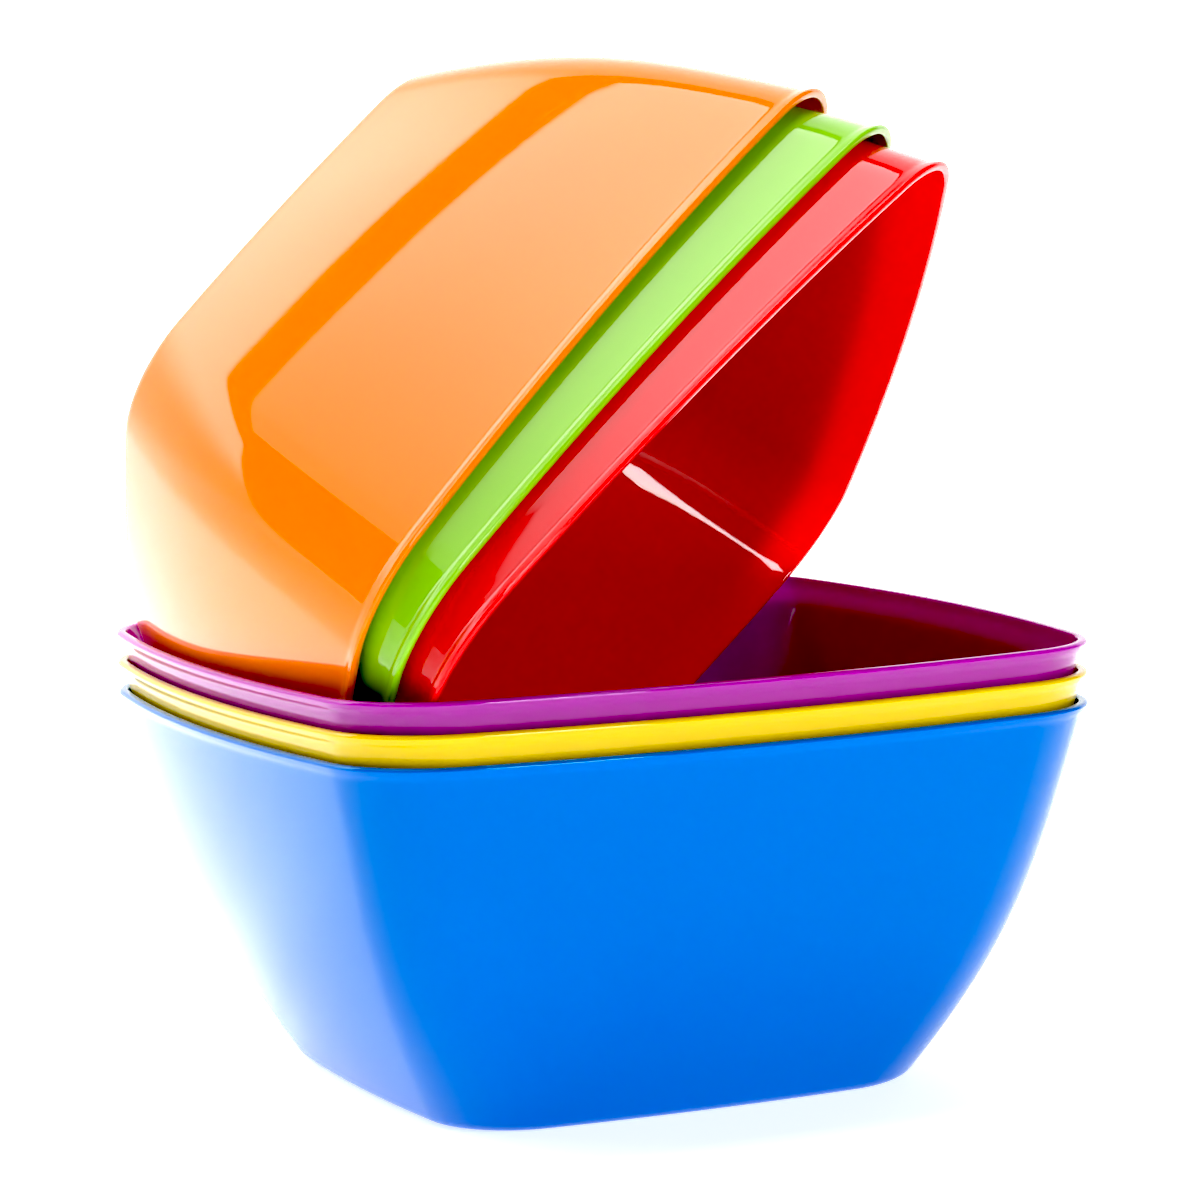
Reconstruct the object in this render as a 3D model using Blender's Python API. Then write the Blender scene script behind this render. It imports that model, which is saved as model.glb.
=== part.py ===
"""Six square hair colour bowls: three nested upright, three nested and tipped into the top one."""
import math

import bmesh
import bpy
from mathutils import Quaternion, Vector

MM = 0.001

# One bowl, all six are the same moulding (mm and degrees)
RIM_HALF = 75.0         # half the width over the lip, side to side
BASE_HALF = 46.5        # half the width where the wall meets the underside
HEIGHT = 68.0
BASE_LEAN = 33.0        # lean of the wall from upright at the underside
RIM_LEAN = 15.5         # and at the rim
LOW_PULL = 32.0         # how far each lean carries into the curve of the wall
HIGH_PULL = 30.6
RIM_BOW = 342.0         # arc radius of each bowed side, over the lip
BASE_BOW = 376.0
RIM_CORNER = 20.6       # corner radius over the lip
BASE_CORNER = 17.2
WALL = 1.1
FLOOR = 2.0
LIP_OUT = 0.5           # the lip stands out this far all round
LIP_DEEP = 2.4          # and is this deep
LIP_STEP = 0.6          # height of the slope under it
RIM_ROUND = 0.7         # rounding of the top edge, outside
RIM_EASE = 0.4          # and inside
HEEL_OUTER = 4.0        # fillet under the heel
HEEL_INNER = 5.0        # fillet between floor and wall inside

# How the bowls lie together
NEST = 5.4              # each upright bowl sits this much above the one round it
HEADING = -45.0         # the tipped bowls open towards the front right corner
TIPPED = {              # turn from upright, and where the rim centre is: ahead and up
    "orange_bowl": (120.1, -0.2, 95.3),
    "green_bowl": (123.2, 7.4, 91.3),
    "red_bowl": (126.0, 14.3, 87.3),
}

# Mesh fineness, per quarter of the outline
SIDE_STEPS = 6
CORNER_STEPS = 6

COLOURS = {
    "blue_bowl": (0.0, 0.19, 0.80),
    "yellow_bowl": (0.87, 0.63, 0.0),
    "purple_bowl": (0.36, 0.03, 0.35),
    "orange_bowl": (1.0, 0.21, 0.0),
    "green_bowl": (0.26, 0.68, 0.04),
    "red_bowl": (0.87, 0.0, 0.004),
}


def clear_scene():
    for old in list(bpy.data.objects):
        bpy.data.objects.remove(old, do_unlink=True)


def outline(half, bow, corner):
    """Four bowed sides joined by round corners, all arcs tangent, as flat x, y points."""
    back = bow - half
    across = math.sqrt(2.0 * (bow - corner) ** 2 - back ** 2)
    centre = (across - back) / 2.0
    turn = math.atan2(centre, centre + back)
    points = []
    for quarter in range(4):
        spin = quarter * math.pi / 2.0
        for step in range(SIDE_STEPS):
            angle = -turn + 2.0 * turn * step / SIDE_STEPS
            x = -back + bow * math.cos(angle)
            y = bow * math.sin(angle)
            points.append(turned(x, y, spin))
        for step in range(CORNER_STEPS):
            angle = turn + (math.pi / 2.0 - 2.0 * turn) * step / CORNER_STEPS
            x = centre + corner * math.cos(angle)
            y = centre + corner * math.sin(angle)
            points.append(turned(x, y, spin))
    return points


def turned(x, y, spin):
    c = math.cos(spin)
    s = math.sin(spin)
    return (x * c - y * s, x * s + y * c)


def wall_curve(t):
    """Outer face of the wall at t from 0 (underside) to 1 (rim): half width, height, lean."""
    low = math.radians(BASE_LEAN)
    high = math.radians(RIM_LEAN)
    rim = RIM_HALF - LIP_OUT
    p0 = Vector((BASE_HALF, 0.0))
    p1 = p0 + LOW_PULL * Vector((math.sin(low), math.cos(low)))
    p3 = Vector((rim, HEIGHT))
    p2 = p3 - HIGH_PULL * Vector((math.sin(high), math.cos(high)))
    u = 1.0 - t
    at = u ** 3 * p0 + 3 * u * u * t * p1 + 3 * u * t * t * p2 + t ** 3 * p3
    slope = u * u * (p1 - p0) + 2 * u * t * (p2 - p1) + t * t * (p3 - p2)
    return at.x, at.y, math.atan2(slope.x, slope.y)


def wall_at(height):
    """The same curve looked up by height."""
    low = 0.0
    high = 1.0
    for _ in range(40):
        middle = (low + high) / 2.0
        if wall_curve(middle)[1] < height:
            low = middle
        else:
            high = middle
    half, _, lean = wall_curve(low)
    return half, lean


def ring(half, height):
    """One level of the bowl: the outline of that half width, its arcs eased with the height."""
    share = min(max(height / HEIGHT, 0.0), 1.0)
    skin = wall_at(height)[0]
    inset = skin - half
    bow = BASE_BOW + (RIM_BOW - BASE_BOW) * share - inset
    corner = BASE_CORNER + (RIM_CORNER - BASE_CORNER) * share - inset
    return [(x, y, height) for x, y in outline(half, bow, corner)]


def heel(half, height, radius, steps):
    """Fillet between a flat at that height and a wall leaning out from that half width."""
    lean = wall_at(height)[1]
    arc = math.pi / 2.0 - lean
    middle = half - radius * math.tan(arc / 2.0)
    levels = []
    for step in range(steps + 1):
        angle = -math.pi / 2.0 + arc * step / steps
        levels.append((middle + radius * math.cos(angle), height + radius + radius * math.sin(angle)))
    return levels


def outer_levels():
    """Underside to the top of the lip, as half width and height."""
    levels = heel(BASE_HALF, 0.0, HEEL_OUTER, 2)
    for t in (0.14, 0.3, 0.48, 0.68, 0.86):
        half, height, _ = wall_curve(t)
        levels.append((half, height))
    under = HEIGHT - LIP_DEEP
    half = wall_at(under)[0]
    levels.append((half, under - LIP_STEP / 2.0))
    levels.append((half + LIP_OUT, under + LIP_STEP / 2.0))
    for step in range(3):
        angle = step * math.pi / 4.0
        out = RIM_HALF - RIM_ROUND * (1.0 - math.cos(angle))
        levels.append((out, HEIGHT - RIM_ROUND * (1.0 - math.sin(angle))))
    return levels


def inner_levels():
    """Top of the rim down to the edge of the floor."""
    lean = math.radians(RIM_LEAN)
    edge = RIM_HALF - LIP_OUT - WALL / math.cos(lean)
    levels = [(edge + RIM_EASE, HEIGHT), (edge, HEIGHT - RIM_EASE)]
    for t in (0.86, 0.68, 0.48, 0.3, 0.16):
        half, height, lean = wall_curve(t)
        levels.append((half - WALL / math.cos(lean), height))
    half, lean = wall_at(FLOOR)
    levels.extend(reversed(heel(half - WALL / math.cos(lean), FLOOR, HEEL_INNER, 2)))
    return levels


def bowl_mesh(name):
    """Stack the rings, skin between them, and close the underside and the floor."""
    bm = bmesh.new()
    rings = []
    for half, height in outer_levels() + inner_levels():
        rings.append([bm.verts.new(Vector(p) * MM) for p in ring(half, height)])
    for below, above in zip(rings, rings[1:]):
        count = len(below)
        for i in range(count):
            j = (i + 1) % count
            bm.faces.new((below[i], below[j], above[j], above[i]))
    bm.faces.new(list(reversed(rings[0])))
    bm.faces.new(rings[-1])
    bmesh.ops.recalc_face_normals(bm, faces=bm.faces)
    mesh = bpy.data.meshes.new(name)
    bm.to_mesh(mesh)
    bm.free()
    return mesh


def plastic(name, colour):
    material = bpy.data.materials.new(name + "_plastic")
    material.use_nodes = True
    shader = material.node_tree.nodes["Principled BSDF"]
    shader.inputs["Base Color"].default_value = (*colour, 1.0)
    shader.inputs["Roughness"].default_value = 0.12
    shader.inputs["Metallic"].default_value = 0.0
    return material


def add_bowl(name):
    bowl = bpy.data.objects.new(name, bowl_mesh(name))
    bowl.data.materials.append(plastic(name, COLOURS[name]))
    bpy.context.scene.collection.objects.link(bowl)
    return bowl


def stand(name, level):
    """An upright bowl, nested at that level of the stack."""
    bowl = add_bowl(name)
    bowl.location = (0.0, 0.0, level * NEST * MM)


def tip(name):
    """A bowl turned over on a corner, placed by the centre of its rim."""
    turn, ahead, up = TIPPED[name]
    heading = math.radians(HEADING)
    hinge = Vector((-math.sin(heading), math.cos(heading), 0.0))
    rotation = Quaternion(hinge, math.radians(turn))
    rim = Vector((ahead * math.cos(heading), ahead * math.sin(heading), up))
    bowl = add_bowl(name)
    bowl.rotation_mode = "QUATERNION"
    bowl.rotation_quaternion = rotation
    bowl.location = (rim - rotation @ Vector((0.0, 0.0, HEIGHT))) * MM


clear_scene()
stand("blue_bowl", 0)
stand("yellow_bowl", 1)
stand("purple_bowl", 2)
tip("red_bowl")
tip("green_bowl")
tip("orange_bowl")
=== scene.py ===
import math

import bmesh
import bpy
from mathutils import Matrix, Quaternion, Vector


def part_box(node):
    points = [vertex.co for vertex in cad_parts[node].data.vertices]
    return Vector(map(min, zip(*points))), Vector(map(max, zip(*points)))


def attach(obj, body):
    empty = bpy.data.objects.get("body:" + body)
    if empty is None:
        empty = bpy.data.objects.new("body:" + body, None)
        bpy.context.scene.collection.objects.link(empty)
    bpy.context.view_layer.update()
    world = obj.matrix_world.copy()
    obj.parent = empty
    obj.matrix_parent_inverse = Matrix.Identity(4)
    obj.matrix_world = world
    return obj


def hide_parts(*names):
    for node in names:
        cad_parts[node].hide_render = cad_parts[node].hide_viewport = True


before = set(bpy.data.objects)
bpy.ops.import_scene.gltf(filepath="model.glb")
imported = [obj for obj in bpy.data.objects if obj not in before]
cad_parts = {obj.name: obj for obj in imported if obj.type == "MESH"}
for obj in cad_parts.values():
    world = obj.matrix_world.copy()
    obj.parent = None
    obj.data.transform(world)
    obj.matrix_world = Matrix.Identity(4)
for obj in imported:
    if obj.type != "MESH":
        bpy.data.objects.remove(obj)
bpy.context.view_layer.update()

mm = 0.001

# every bowl is the same moulding, sizes in mm and degrees
moulding = {
    "rimHalf": 75.0,            # half width over the lip
    "baseHalf": 46.5,           # half width where wall meets underside
    "height": 68.0,
    "baseLean": 33.0,           # wall lean from upright, at the heel
    "rimLean": 15.5,            # and at the rim
    "lowPull": 32.0,            # how far each lean carries into the wall's curve
    "highPull": 30.6,
    "rimBow": 342.0,            # arc radius of the bowed sides, at the rim
    "baseBow": 376.0,           # and at the heel
    "rimCorner": 20.6,
    "baseCorner": 17.2,
    "wall": 1.1,
    "floor": 2.0,
    "lipOut": 0.5,
    "lipSwell": (               # depth below the rim, and how far out the lip has swelled
        (2.9, 0.0), (2.6, 0.02), (2.3, 0.07), (2.0, 0.16),
        (1.75, 0.27), (1.5, 0.38), (1.25, 0.46), (1.0, 0.49),
    ),
    "rimRound": 0.7,            # rounding of the top edge, outside
    "rimEase": 0.4,             # and inside
    "heelOuter": 4.0,           # fillet under the heel
    "heelInner": 14.0,          # and between floor and wall
    "gateMark": ((0.06, 0.05), (0.05, 0.22)),       # dimple under the base: share of width, depth
}

# how finely it is divided
fineness = {
    "side": 26,                 # points along one bowed side
    "corner": 22,               # and round one corner
    "wall": 27,                 # rings up the wall
    "heelOuter": 9,
    "heelInner": 14,
    "rimRound": 8,
    "rimEase": 5,
    "outerClear": (1.2, 3.6),   # wall rings keep this far above the heel and below the rim
    "innerClear": (1.0, 1.0),
    "flat": (0.985, 0.94, 0.84, 0.7, 0.54, 0.38, 0.24, 0.13, 0.07, 0.052, 0.046, 0.02),
    "rounding": 1.25,           # how soon those rings on a flat turn from the outline to circles
    "circle": 1.04,             # and how wide the circles are for their half width
    "halvings": 40,             # when the wall is looked up by height
}


def wallCurve(t):
    # outer face from underside (0) to rim (1): half width, height, lean
    m = moulding
    low = math.radians(m["baseLean"])
    high = math.radians(m["rimLean"])
    p0 = Vector((m["baseHalf"], 0.0))
    p1 = p0 + m["lowPull"] * Vector((math.sin(low), math.cos(low)))
    p3 = Vector((m["rimHalf"] - m["lipOut"], m["height"]))
    p2 = p3 - m["highPull"] * Vector((math.sin(high), math.cos(high)))
    u = 1.0 - t
    at = u ** 3 * p0 + 3 * u * u * t * p1 + 3 * u * t * t * p2 + t ** 3 * p3
    slope = u * u * (p1 - p0) + 2 * u * t * (p2 - p1) + t * t * (p3 - p2)
    return at.x, at.y, math.atan2(slope.x, slope.y)


def wallAt(height):
    # the same curve looked up by height
    low, high = 0.0, 1.0
    for _ in range(fineness["halvings"]):
        middle = (low + high) / 2.0
        if wallCurve(middle)[1] < height:
            low = middle
        else:
            high = middle
    half, _, lean = wallCurve(low)
    return half, lean


def ringPoints(half, height):
    # four bowed sides joined by round corners, all arcs tangent
    m = moulding
    share = min(max(height / m["height"], 0.0), 1.0)
    inset = wallAt(height)[0] - half
    bow = m["baseBow"] + (m["rimBow"] - m["baseBow"]) * share - inset
    corner = m["baseCorner"] + (m["rimCorner"] - m["baseCorner"]) * share - inset
    back = bow - half
    across = math.sqrt(2.0 * (bow - corner) ** 2 - back ** 2)
    centre = (across - back) / 2.0
    turn = math.atan2(centre, centre + back)
    flat = []
    for step in range(fineness["side"]):
        angle = -turn + 2.0 * turn * step / fineness["side"]
        flat.append((-back + bow * math.cos(angle), bow * math.sin(angle)))
    for step in range(fineness["corner"]):
        angle = turn + (math.pi / 2.0 - 2.0 * turn) * step / fineness["corner"]
        flat.append((centre + corner * math.cos(angle), centre + corner * math.sin(angle)))
    points = []
    for c, s in ((1, 0), (0, 1), (-1, 0), (0, -1)):
        points += [Vector((x * c - y * s, x * s + y * c, height)) for x, y in flat]
    return points


def heelLevels(half, height, radius, steps):
    # fillet between a flat and the wall that leans out from it
    lean = wallAt(height)[1]
    arc = math.pi / 2.0 - lean
    middle = half - radius * math.tan(arc / 2.0)
    levels = []
    for step in range(steps + 1):
        angle = -math.pi / 2.0 + arc * step / steps
        levels.append((middle + radius * math.cos(angle),
                       height + radius + radius * math.sin(angle)))
    return levels


def outerLevels():
    # underside to the top of the lip, as half width and height
    m = moulding
    levels = heelLevels(m["baseHalf"], 0.0, m["heelOuter"], fineness["heelOuter"])
    overHeel, underRim = fineness["outerClear"]
    low = levels[-1][1] + overHeel
    for step in range(1, fineness["wall"]):
        half, height, _ = wallCurve(step / fineness["wall"])
        if low < height < m["height"] - underRim:
            levels.append((half, height))
    for below, out in m["lipSwell"]:
        height = m["height"] - below
        levels.append((wallAt(height)[0] + out, height))
    for step in range(fineness["rimRound"] + 1):
        angle = step * math.pi / (2 * fineness["rimRound"])
        out = m["rimHalf"] - m["rimRound"] * (1.0 - math.cos(angle))
        levels.append((out, m["height"] - m["rimRound"] * (1.0 - math.sin(angle))))
    return levels


def innerLevels():
    # top of the rim down to the edge of the floor
    m = moulding
    edge = m["rimHalf"] - m["lipOut"] - m["wall"] / math.cos(math.radians(m["rimLean"]))
    levels = []
    for step in range(fineness["rimEase"] + 1):
        angle = step * math.pi / (2 * fineness["rimEase"])
        levels.append((edge + m["rimEase"] * (1 - math.sin(angle)),
                       m["height"] - m["rimEase"] * (1 - math.cos(angle))))
    half, lean = wallAt(m["floor"])
    inside = heelLevels(half - m["wall"] / math.cos(lean), m["floor"],
                        m["heelInner"], fineness["heelInner"])
    overHeel, underRim = fineness["innerClear"]
    for step in range(fineness["wall"] - 1, 0, -1):
        half, height, lean = wallCurve(step / fineness["wall"])
        if inside[-1][1] + overHeel < height < m["height"] - underRim:
            levels.append((half - m["wall"] / math.cos(lean), height))
    levels.extend(reversed(inside))
    return levels


def skinBetween(bm, below, above):
    count = len(below)
    for i in range(count):
        j = (i + 1) % count
        bm.faces.new((below[i], below[j], above[j], above[i]))


def closeFlat(bm, ring, height, dimple):
    # underside or floor: smaller and rounder rings down to one middle face
    half = max(v.co.x for v in ring) / mm
    last = ring
    for share in fineness["flat"]:
        radius = half * share
        rounder = min(1.0, fineness["rounding"] * (1.0 - share) ** 1.5)
        lift = max([deep for width, deep in dimple if share < width], default=0.0)
        new = []
        for v in ring:
            square = Vector((v.co.x, v.co.y, 0)) * share / mm
            circle = square.normalized() * radius * fineness["circle"]
            at = square.lerp(circle, rounder)
            new.append(bm.verts.new(Vector((at.x, at.y, height + lift)) * mm))
        skinBetween(bm, last, new)
        last = new
    bm.faces.new(last)


def buildMoulding():
    bm = bmesh.new()
    levels = outerLevels() + innerLevels()
    rings = [[bm.verts.new(p * mm) for p in ringPoints(half, height)] for half, height in levels]
    for below, above in zip(rings, rings[1:]):
        skinBetween(bm, below, above)
    closeFlat(bm, rings[0], 0.0, moulding["gateMark"])
    closeFlat(bm, rings[-1], moulding["floor"], ())
    bmesh.ops.recalc_face_normals(bm, faces=bm.faces)
    mesh = bpy.data.meshes.new("bowlMoulding")
    bm.to_mesh(mesh)
    bm.free()
    mesh.shade_smooth()
    return mesh


# the six bowls. turn: how far it is tipped over, in degrees; body and deep: its pigment;
# glow and through: how much light soaks in, and how far each colour of it goes;
# shine: tint of its reflections; seed: sets its clouds and scratches apart from the others
bowls = {
    "blue": {
        "turn": 0.0, "seed": 1.3, "body": (0.0, 0.145, 0.585), "deep": (0.0, 0.10, 0.49),
        "glow": 0.35, "through": (0.12, 0.28, 0.40), "shine": (0.25, 0.82, 1.0),
    },
    "yellow": {
        "turn": 0.0, "seed": 4.1, "body": (0.80, 0.56, 0.0), "deep": (0.72, 0.45, 0.0),
        "glow": 0.35, "through": (0.40, 0.36, 0.12), "shine": (1.0, 1.0, 1.0),
    },
    "purple": {
        "turn": 0.0, "seed": 7.7, "body": (0.36, 0.028, 0.34), "deep": (0.27, 0.015, 0.25),
        "glow": 1.0, "through": (1.0, 0.15, 0.9), "shine": (1.0, 1.0, 1.0),
    },
    "red": {
        "turn": 126.0, "seed": 2.9, "body": (0.80, 0.002, 0.004), "deep": (0.52, 0.0, 0.003),
        "glow": 1.0, "through": (1.0, 0.05, 0.05), "shine": (1.0, 1.0, 1.0),
    },
    "green": {
        "turn": 123.2, "seed": 5.5, "body": (0.27, 0.61, 0.03), "deep": (0.17, 0.5, 0.02),
        "glow": 0.35, "through": (0.28, 0.40, 0.12), "shine": (1.0, 1.0, 1.0),
    },
    "orange": {
        "turn": 120.1, "seed": 9.2, "body": (1.0, 0.225, 0.0), "deep": (0.86, 0.13, 0.0),
        "glow": 0.35, "through": (0.40, 0.24, 0.08), "shine": (1.0, 1.0, 1.0),
    },
}
heading = -45.0                 # the tipped bowls open to the front right

# the gloss finish they share
gloss = {
    "cloudScale": 14.0, "cloudDetail": 3.0, "cloudSpan": (0.3, 0.75), "cloudMost": 0.22,
    "wornSpan": (0.54, 0.70), "wornMost": 0.10, "wornKeep": 0.75, "wornPale": 0.22,
    "scratchScale": (60.0, 900.0, 300.0), "scratchTurn": (0.3, 0.5, 0.9),
    "scratchDetail": 2.0, "scratchSpan": (0.66, 0.80), "roughness": (0.055, 0.13),
    "rippleScale": 26.0, "rippleDetail": 1.0, "rippleStrength": 0.10, "rippleDeep": 0.0009,
    "grainScale": 900.0, "grainStrength": 0.03, "grainDeep": 0.00004,
    "ior": 1.44, "soak": 0.004,
}


def addNode(tree, kind, at, inputs=None, **settings):
    node = tree.nodes.new(kind)
    node.location = at
    for key, value in settings.items():
        setattr(node, key, value)
    for key, value in (inputs or {}).items():
        node.inputs[key].default_value = value
    return node


def glossPlastic(name, look):
    material = bpy.data.materials.new(name + "Plastic")
    material.use_nodes = True
    tree = material.node_tree
    shader = tree.nodes["Principled BSDF"]
    link = tree.links.new
    g = gloss
    seed = look["seed"]
    place = addNode(tree, "ShaderNodeTexCoord", (-1500, 0))
    shift = addNode(tree, "ShaderNodeMapping", (-1300, 0), {"Location": (seed, seed * 0.7, 0.0)})
    link(place.outputs["Object"], shift.inputs["Vector"])

    # pigment: broad faint clouds
    clouds = addNode(tree, "ShaderNodeTexNoise", (-1050, 300),
                     {"Scale": g["cloudScale"], "Detail": g["cloudDetail"]})
    link(shift.outputs["Vector"], clouds.inputs["Vector"])
    thick = addNode(tree, "ShaderNodeMapRange", (-850, 300),
                    {"From Min": g["cloudSpan"][0], "From Max": g["cloudSpan"][1],
                     "To Min": 0.0, "To Max": g["cloudMost"]})
    link(clouds.outputs["Fac"], thick.inputs["Value"])
    pigment = addNode(tree, "ShaderNodeMix", (-600, 300),
                      {"A": (*look["body"], 1.0), "B": (*look["deep"], 1.0)}, data_type="RGBA")
    link(thick.outputs["Result"], pigment.inputs["Factor"])

    # rim and heel edges are rubbed paler
    edge = addNode(tree, "ShaderNodeNewGeometry", (-1050, 620))
    worn = addNode(tree, "ShaderNodeMapRange", (-850, 620),
                   {"From Min": g["wornSpan"][0], "From Max": g["wornSpan"][1],
                    "To Max": g["wornMost"]})
    link(edge.outputs["Pointiness"], worn.inputs["Value"])
    rubbed = [c * g["wornKeep"] + g["wornPale"] for c in look["body"]]
    pale = addNode(tree, "ShaderNodeMix", (-380, 360), {"B": (*rubbed, 1.0)}, data_type="RGBA")
    link(worn.outputs["Result"], pale.inputs["Factor"])
    link(pigment.outputs["Result"], pale.inputs["A"])
    link(pale.outputs["Result"], shader.inputs["Base Color"])

    # hairline handling scratches, in the gloss only
    x, y, z = g["scratchTurn"]
    stretch = addNode(tree, "ShaderNodeMapping", (-1300, -320),
                      {"Scale": g["scratchScale"], "Rotation": (x, y, z + seed)})
    link(place.outputs["Object"], stretch.inputs["Vector"])
    hair = addNode(tree, "ShaderNodeTexNoise", (-1050, -320),
                   {"Scale": 1.0, "Detail": g["scratchDetail"]})
    link(stretch.outputs["Vector"], hair.inputs["Vector"])
    fine = addNode(tree, "ShaderNodeMapRange", (-850, -320),
                   {"From Min": g["scratchSpan"][0], "From Max": g["scratchSpan"][1],
                    "To Min": g["roughness"][0], "To Max": g["roughness"][1]})
    link(hair.outputs["Fac"], fine.inputs["Value"])
    link(fine.outputs["Result"], shader.inputs["Roughness"])

    # the skin follows the tool's polish: long soft ripples and a very fine grain
    ripple = addNode(tree, "ShaderNodeTexNoise", (-1050, -620),
                     {"Scale": g["rippleScale"], "Detail": g["rippleDetail"]})
    link(shift.outputs["Vector"], ripple.inputs["Vector"])
    grain = addNode(tree, "ShaderNodeTexNoise", (-1050, -860), {"Scale": g["grainScale"]})
    link(shift.outputs["Vector"], grain.inputs["Vector"])
    soft = addNode(tree, "ShaderNodeBump", (-600, -620),
                   {"Strength": g["rippleStrength"], "Distance": g["rippleDeep"]})
    link(ripple.outputs["Fac"], soft.inputs["Height"])
    skin = addNode(tree, "ShaderNodeBump", (-400, -620),
                   {"Strength": g["grainStrength"], "Distance": g["grainDeep"]})
    link(grain.outputs["Fac"], skin.inputs["Height"])
    link(soft.outputs["Normal"], skin.inputs["Normal"])
    link(skin.outputs["Normal"], shader.inputs["Normal"])

    shader.inputs["IOR"].default_value = g["ior"]
    shader.inputs["Specular Tint"].default_value = (*look["shine"], 1.0)
    shader.inputs["Subsurface Weight"].default_value = look["glow"]
    shader.inputs["Subsurface Radius"].default_value = look["through"]
    shader.inputs["Subsurface Scale"].default_value = g["soak"]
    return material


def placeBowl(name, mesh, look):
    # turned like its solid, then set in the middle of that solid's box
    node = name + "_bowl"
    bowl = bpy.data.objects.new(name + "Bowl", mesh.copy())
    bpy.context.scene.collection.objects.link(bowl)
    if look["turn"]:
        ahead = math.radians(heading)
        hinge = Vector((-math.sin(ahead), math.cos(ahead), 0.0))
        bowl.data.transform(Quaternion(hinge, math.radians(look["turn"])).to_matrix().to_4x4())
    corners = [v.co for v in bowl.data.vertices]
    low = Vector([min(c[i] for c in corners) for i in range(3)])
    high = Vector([max(c[i] for c in corners) for i in range(3)])
    cadLow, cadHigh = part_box(node)
    bowl.location = (cadLow + cadHigh) / 2 - (low + high) / 2
    bowl.data.materials.append(glossPlastic(name, look))
    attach(bowl, name)
    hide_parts(node)
    print(name, "bowl box off by mm",
          [round((a - b) * 1000, 3) for a, b in zip(high - low, cadHigh - cadLow)])


mesh = buildMoulding()
print("moulding", len(mesh.polygons), "faces")
for name, look in bowls.items():
    placeBowl(name, mesh, look)
bpy.data.meshes.remove(mesh)
print("six bowls placed")

# one white sweep, a flat table that curves up far behind; metres, and the light it gives
sweep = {
    "half": 9.0, "front": -6.0, "middle": -0.6, "bend": 2.25, "radius": 1.35, "top": 6.75,
    "bendSteps": 12,
    "drop": 0.0002,                 # it lies a hair under the bowls' flat base
    "near": 0.7,                    # light the table gives by itself
    "pool": 0.5,                    # a brighter pool of light on it behind the bowls
    "poolBack": (0.02, 0.11), "poolSide": (-0.225, -0.185),
    "wall": 0.5, "wallBack": (0.35, 0.9),           # brighter again towards the back
    "crown": 4.2,                   # and brightest towards the top of its wall, on the left
    "crownUp": (1.35, 4.8), "crownSide": (0.75, -1.05),
    "tone": (0.92, 0.96), "toothScale": 300.0,      # faint mottle of the paper
    "roughness": 0.95, "specular": 0.1,
}


def buildSweep():
    w = sweep
    line = [(w["front"], 0.0), (w["middle"], 0.0), (w["bend"], 0.0)]
    for step in range(1, w["bendSteps"] + 1):
        angle = math.radians(90.0 / w["bendSteps"] * step)
        line.append((w["bend"] + w["radius"] * math.sin(angle),
                     w["radius"] * (1 - math.cos(angle))))
    line.append((line[-1][0], w["top"]))
    points = [(x, y, z) for y, z in line for x in (-w["half"], w["half"])]
    faces = [(2 * i, 2 * i + 1, 2 * i + 3, 2 * i + 2) for i in range(len(line) - 1)]
    mesh = bpy.data.meshes.new("whiteSweep")
    mesh.from_pydata(points, [], faces)
    mesh.shade_smooth()
    return mesh


def whitePaper():
    w = sweep
    paper = bpy.data.materials.new("whitePaper")
    paper.use_nodes = True
    tree = paper.node_tree
    sheet = tree.nodes["Principled BSDF"]
    link = tree.links.new
    tooth = addNode(tree, "ShaderNodeTexNoise", (-900, 300), {"Scale": w["toothScale"]})
    tone = addNode(tree, "ShaderNodeMapRange", (-700, 300),
                   {"To Min": w["tone"][0], "To Max": w["tone"][1]})
    link(tooth.outputs["Fac"], tone.inputs["Value"])
    link(tone.outputs["Result"], sheet.inputs["Base Color"])
    spot = addNode(tree, "ShaderNodeTexCoord", (-1500, -200))
    apart = addNode(tree, "ShaderNodeSeparateXYZ", (-1300, -200))
    link(spot.outputs["Object"], apart.inputs["Vector"])

    def ramp(axis, span, value, down):
        # none at the first place, all of the value at the second
        step = addNode(tree, "ShaderNodeMapRange", (-1100, down),
                       {"From Min": span[0], "From Max": span[1], "To Max": value},
                       interpolation_type="SMOOTHSTEP")
        link(apart.outputs[axis], step.inputs["Value"])
        return step.outputs["Result"]

    def join(kind, one, other, at):
        both = addNode(tree, "ShaderNodeMath", at, operation=kind)
        link(one, both.inputs[0])
        link(other, both.inputs[1])
        return both.outputs["Value"]

    pool = join("MULTIPLY", ramp("Y", w["poolBack"], w["pool"], 0),
                ramp("X", w["poolSide"], 1.0, -260), (-850, -100))
    wall = join("MAXIMUM", pool, ramp("Y", w["wallBack"], w["wall"], -520), (-650, -200))
    crown = join("MULTIPLY", ramp("Z", w["crownUp"], w["crown"], -780),
                 ramp("X", w["crownSide"], 1.0, -1040), (-850, -800))
    glow = join("ADD", wall, crown, (-450, -300))
    light = addNode(tree, "ShaderNodeMath", (-250, -300), operation="ADD")
    light.inputs[1].default_value = w["near"]
    link(glow, light.inputs[0])
    link(light.outputs["Value"], sheet.inputs["Emission Strength"])
    sheet.inputs["Emission Color"].default_value = (1, 1, 1, 1)
    sheet.inputs["Roughness"].default_value = w["roughness"]
    sheet.inputs["Specular IOR Level"].default_value = w["specular"]
    return paper


floor = bpy.data.objects.new("whiteSweep", buildSweep())
floor.data.materials.append(whitePaper())
floor.location.z = -sweep["drop"]
bpy.context.scene.collection.objects.link(floor)
print("sweep laid")

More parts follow.
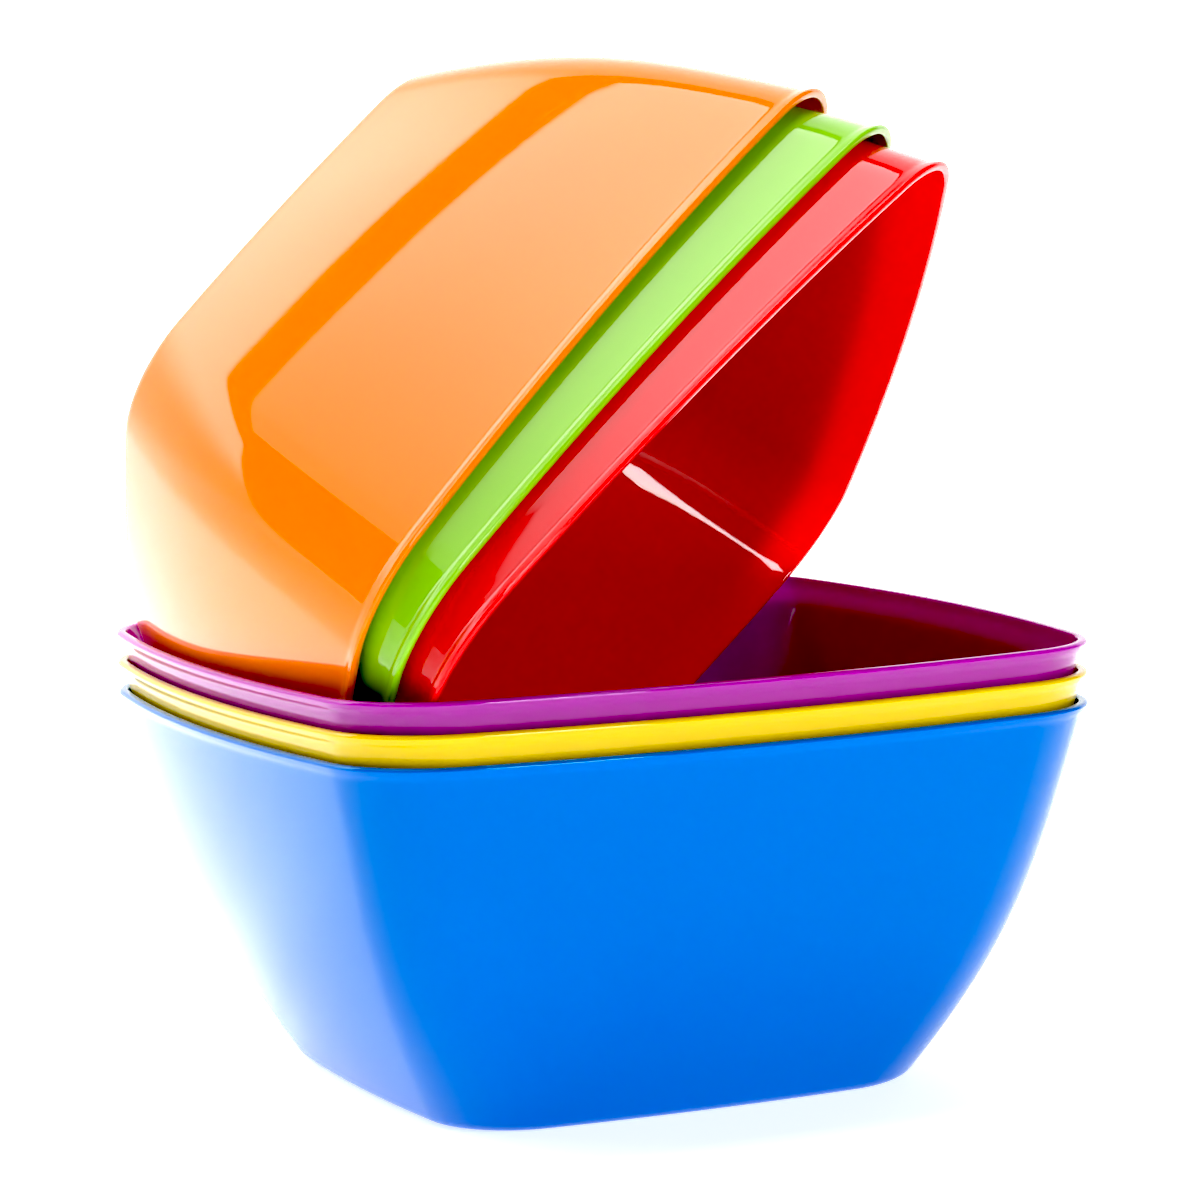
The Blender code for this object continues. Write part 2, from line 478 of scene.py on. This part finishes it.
# soft panels: centre, aim and size in metres, light leaving each square metre;
# fade: dim up to the first place, full from the second, and how dim
panels = {
    "overheadPanel": {
        "at": (-0.21, 0.06, 1.0), "aim": (-0.21, 0.06, 0.0), "size": (1.34, 0.48),
        "level": 5.6, "fade": (-0.6, -0.05, 0.38),
    },
    "frontPanel": {
        "at": (0.15, -0.95, 0.36), "aim": (0.0, 0.0, 0.09), "size": (0.20, 0.29),
        "level": 21.0, "fade": None,
    },
}
room = 0.06                     # what little light comes from the rest of the room
blackLevel = 0.048              # keeps the blacks deep


def fadeLeft(data, fade):
    # dimmer towards the panel's left end
    low, high, dim = fade
    data.use_nodes = True
    tree = data.node_tree
    where = addNode(tree, "ShaderNodeNewGeometry", (-700, 0))
    apart = addNode(tree, "ShaderNodeSeparateXYZ", (-500, 0))
    dimmer = addNode(tree, "ShaderNodeMapRange", (-300, 0),
                     {"From Min": low, "From Max": high, "To Min": dim},
                     interpolation_type="SMOOTHSTEP")
    tree.links.new(where.outputs["Position"], apart.inputs["Vector"])
    tree.links.new(apart.outputs["X"], dimmer.inputs["Value"])
    tree.links.new(dimmer.outputs["Result"], tree.nodes["Emission"].inputs["Strength"])


def addPanel(name, spec):
    data = bpy.data.lights.new(name, "AREA")
    data.shape = "RECTANGLE"
    data.size, data.size_y = spec["size"]
    data.energy = spec["level"] * math.pi * data.size * data.size_y
    if spec["fade"]:
        fadeLeft(data, spec["fade"])
    panel = bpy.data.objects.new(name, data)
    bpy.context.scene.collection.objects.link(panel)
    panel.location = spec["at"]
    away = Vector(spec["at"]) - Vector(spec["aim"])
    panel.rotation_euler = away.to_track_quat("Z", "Y").to_euler()


def lightRoom():
    world = bpy.data.worlds.new("studioRoom")
    bpy.context.scene.world = world
    world.use_nodes = True
    background = world.node_tree.nodes["Background"]
    background.inputs["Color"].default_value = (1, 1, 1, 1)
    background.inputs["Strength"].default_value = room
    view = bpy.context.scene.view_settings
    view.view_transform = "Standard"
    view.use_curve_mapping = True
    view.curve_mapping.black_level = (blackLevel, blackLevel, blackLevel)
    view.curve_mapping.update()


for name, spec in panels.items():
    addPanel(name, spec)
lightRoom()
print("studio ready")

# camera, a long lens low on the front left; radians, metres and mm
eye = {
    "az": -0.4135, "el": 0.1165, "roll": -0.0289, "away": 0.8738,
    "right": 0.00114, "up": 0.0431, "aim": 0.04125,
    "lens": 145.2, "sensor": 36.0, "nearest": 0.05,
}


def placeCamera():
    az, el = eye["az"], eye["el"]
    back = Vector((math.sin(az) * math.cos(el), -math.cos(az) * math.cos(el), math.sin(el)))
    right = Vector((math.cos(az), math.sin(az), 0.0))
    up = back.cross(right)
    c, s = math.cos(eye["roll"]), math.sin(eye["roll"])
    right, up = right * c + up * s, up * c - right * s
    camera = bpy.data.objects.new("camera", bpy.data.cameras.new("camera"))
    bpy.context.scene.collection.objects.link(camera)
    spot = Vector((0, 0, eye["aim"])) + back * eye["away"] + right * eye["right"] + up * eye["up"]
    turned = Matrix((right, up, back)).transposed().to_4x4()
    camera.matrix_world = Matrix.Translation(spot) @ turned
    camera.data.lens = eye["lens"]
    camera.data.sensor_width = eye["sensor"]
    camera.data.clip_start = eye["nearest"]
    bpy.context.scene.camera = camera


placeCamera()
print("camera ready")
